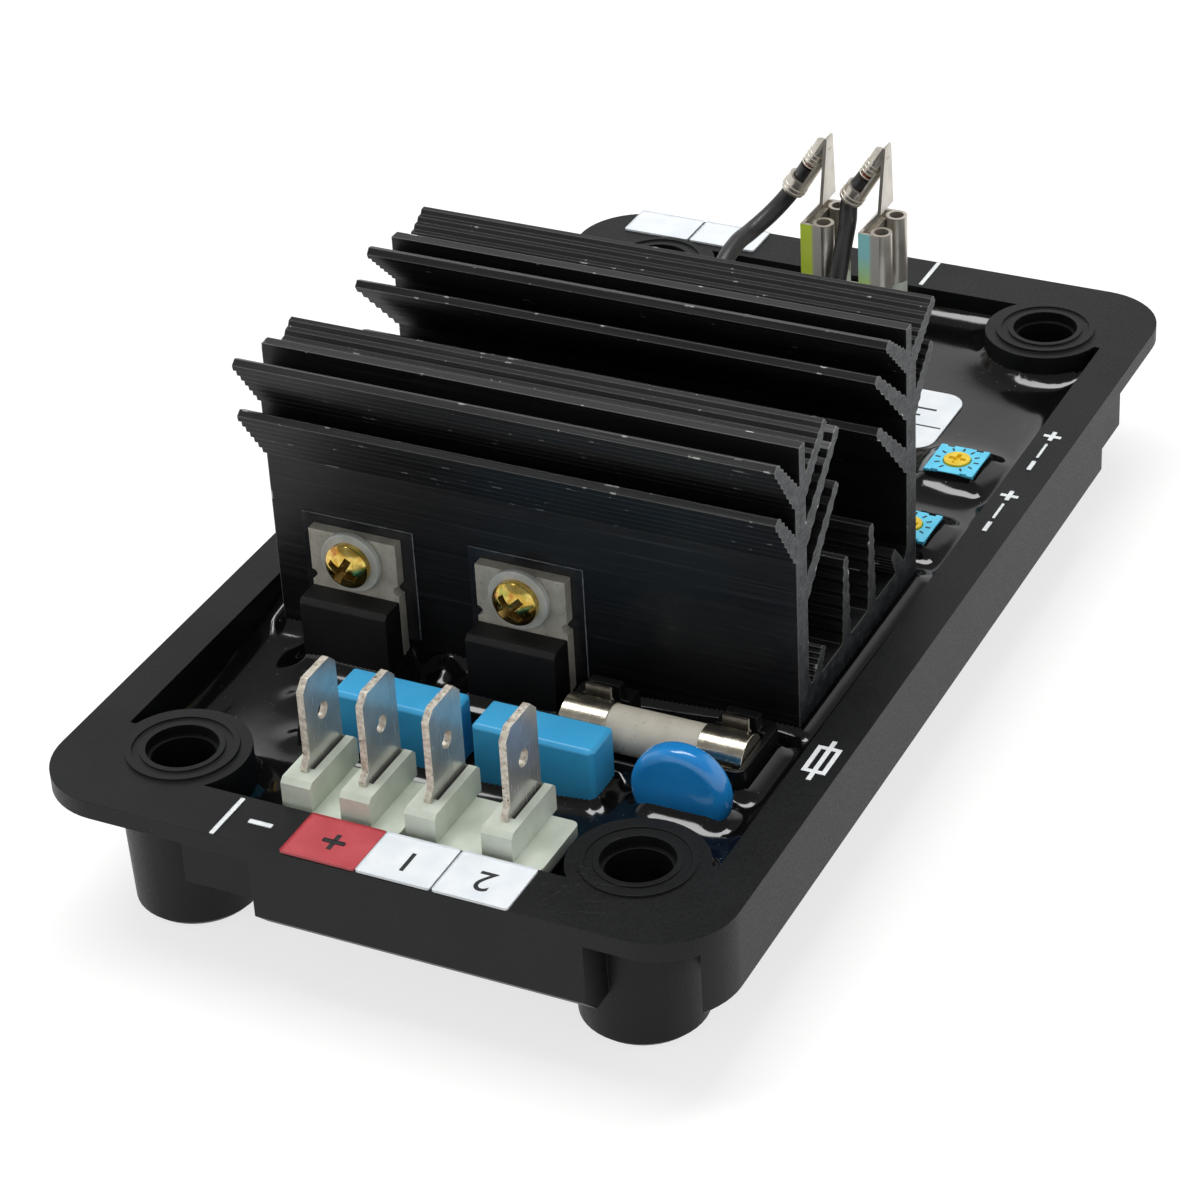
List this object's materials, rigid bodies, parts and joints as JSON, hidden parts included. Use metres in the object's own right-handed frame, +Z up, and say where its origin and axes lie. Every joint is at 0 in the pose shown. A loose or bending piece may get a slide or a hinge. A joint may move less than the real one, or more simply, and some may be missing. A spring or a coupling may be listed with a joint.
{
  "type": "automatic voltage regulator",
  "caption": "Generator voltage regulator: control board potted in a legged tray, with a finned heat sink, power transistors, quick-connect tabs, fuse and setting trimmers.",
  "frame": {"origin": "under the centre of the tray, in the plane of the leg ends", "axes": "+X to the right along the front edge where the blade tabs stand, +Y from that edge to the rear, +Z up from the legs to the heat sink"},
  "size_m": [0.074, 0.135, 0.0478],
  "materials": {
    "tray_plastic": "fine-grained moulded plastic",
    "potting_resin": "glossy cast resin",
    "board_laminate": "glass-fibre laminate",
    "anodised_aluminium": "black anodised extrusion with saw-cut ends",
    "case_epoxy": "moulded epoxy",
    "nickel_plate": "nickel-plated tab",
    "mica_sheet": "thin insulating sheet",
    "bushing_nylon": "natural nylon",
    "yellow_zinc": "yellow-passivated zinc",
    "block_nylon": "milky nylon",
    "tinned_brass": "tin-plated strip",
    "capacitor_case": "moulded blue case",
    "varistor_coat": "dipped blue coat",
    "fuse_ceramic": "matt ceramic tube",
    "nickel_cap": "nickel-plated cap",
    "spring_strip": "plated spring strip",
    "holder_plastic": "moulded holder",
    "trimmer_case": "sky-blue moulded case",
    "rotor_plastic": "yellow moulded rotor",
    "label_film": "white label film",
    "lead_jacket": "black flexible insulation"
  },
  "bodies": {
    "regulator": {"potting_tray": "tray_plastic", "resin_fill": "potting_resin", "circuit_board": "board_laminate", "heat_sink": "anodised_aluminium", "transistor_body_left": "case_epoxy", "transistor_body_right": "case_epoxy", "transistor_plate_left": "nickel_plate", "transistor_plate_right": "nickel_plate", "insulator_left": "mica_sheet", "insulator_right": "mica_sheet", "bushing_left": "bushing_nylon", "bushing_right": "bushing_nylon", "screw_left": "yellow_zinc", "screw_right": "yellow_zinc", "terminal_block_left": "block_nylon", "terminal_block_right": "block_nylon", "terminal_block_rear": "block_nylon", "tab_1": "tinned_brass", "tab_2": "tinned_brass", "tab_3": "tinned_brass", "tab_4": "tinned_brass", "tab_5": "tinned_brass", "tab_6": "tinned_brass", "capacitor_left": "capacitor_case", "capacitor_right": "capacitor_case", "varistor": "varistor_coat", "fuse_holder": "holder_plastic", "fuse_clip_left": "spring_strip", "fuse_clip_right": "spring_strip", "fuse_tube": "fuse_ceramic", "fuse_cap_left": "nickel_cap", "fuse_cap_right": "nickel_cap", "trimmer_front": "trimmer_case", "trimmer_rear": "trimmer_case", "rating_label": "label_film", "receptacle_left": "tinned_brass", "receptacle_right": "tinned_brass", "lead_left": "lead_jacket", "lead_right": "lead_jacket"},
    "front_trimmer_rotor": {"rotor_front": "rotor_plastic"},
    "rear_trimmer_rotor": {"rotor_rear": "rotor_plastic"}
  },
  "joints": [
    {"name": "trimmer_front_turn", "type": "hinge", "parent": "regulator", "child": "front_trimmer_rotor", "pos_m": [0.0253, 0.012, 0.0157], "axis": [0, 0, 1], "range_deg": [-115, 115]},
    {"name": "trimmer_rear_turn", "type": "hinge", "parent": "regulator", "child": "rear_trimmer_rotor", "pos_m": [0.0253, 0.0266, 0.0157], "axis": [0, 0, 1], "range_deg": [-115, 115]}
  ]
}
